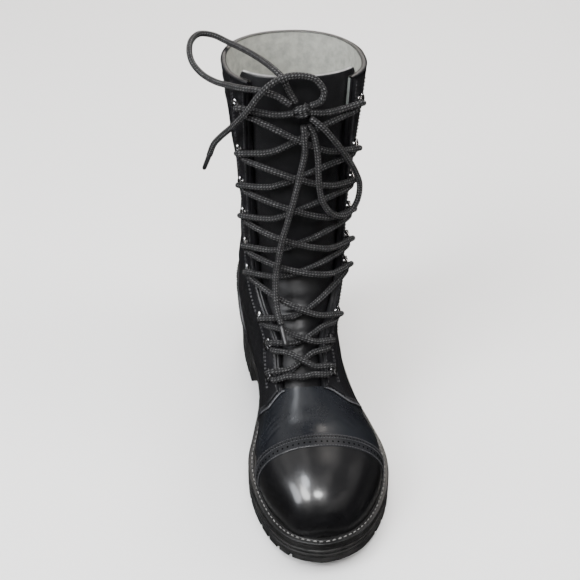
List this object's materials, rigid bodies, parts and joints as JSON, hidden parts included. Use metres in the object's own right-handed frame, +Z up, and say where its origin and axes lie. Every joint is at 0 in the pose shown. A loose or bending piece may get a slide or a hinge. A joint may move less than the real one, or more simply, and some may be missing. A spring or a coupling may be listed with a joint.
{
  "type": "combat boot",
  "caption": "Left leather combat boot with a glossy toe cap, tall laced shaft, riveted lace rings, stitched welt, lug sole and block heel, laced with a round cord.",
  "frame": {"origin": "on the floor under the middle of the boot's outline, without the loose lace", "axes": "+Z up, the toe points along -Y, +X to the outer side of the left foot"},
  "size_m": [0.1351, 0.3058, 0.3085],
  "materials": {
    "upper_leather": "polished black grain leather",
    "gloss_leather": "mirror polished black leather",
    "tongue_leather": "satin black leather",
    "welt_leather": "dressed black leather edge",
    "midsole_leather": "dressed black edge",
    "insole_board": "undyed board",
    "sole_rubber": "matt black rubber",
    "ring_metal": "gloss black enamel",
    "lace_braid": "round braid",
    "lace_tip_plastic": "smooth moulded tip"
  },
  "bodies": {
    "root": {"outsole": "sole_rubber", "heel": "sole_rubber", "midsole": "midsole_leather", "welt": "welt_leather", "insole": "insole_board", "upper": "upper_leather", "toe_cap": "gloss_leather", "eyestay_medial": "upper_leather", "eyestay_lateral": "upper_leather", "counter": "upper_leather", "backstay": "upper_leather", "tongue": "tongue_leather", "lace_ring_medial_1": "ring_metal", "lace_ring_medial_2": "ring_metal", "lace_ring_medial_3": "ring_metal", "lace_ring_medial_4": "ring_metal", "lace_ring_medial_5": "ring_metal", "lace_ring_medial_6": "ring_metal", "lace_ring_medial_7": "ring_metal", "lace_ring_medial_8": "ring_metal", "lace_ring_medial_9": "ring_metal", "lace_ring_lateral_1": "ring_metal", "lace_ring_lateral_2": "ring_metal", "lace_ring_lateral_3": "ring_metal", "lace_ring_lateral_4": "ring_metal", "lace_ring_lateral_5": "ring_metal", "lace_ring_lateral_6": "ring_metal", "lace_ring_lateral_7": "ring_metal", "lace_ring_lateral_8": "ring_metal", "lace_ring_lateral_9": "ring_metal", "lace_crossings": "lace_braid", "lace_knot": "lace_braid", "lace_loop_left": "lace_braid", "lace_loop_right": "lace_braid", "lace_end_front": "lace_braid", "lace_end_left": "lace_braid", "lace_tip_front": "lace_tip_plastic", "lace_tip_left": "lace_tip_plastic"}
  },
  "joints": []
}
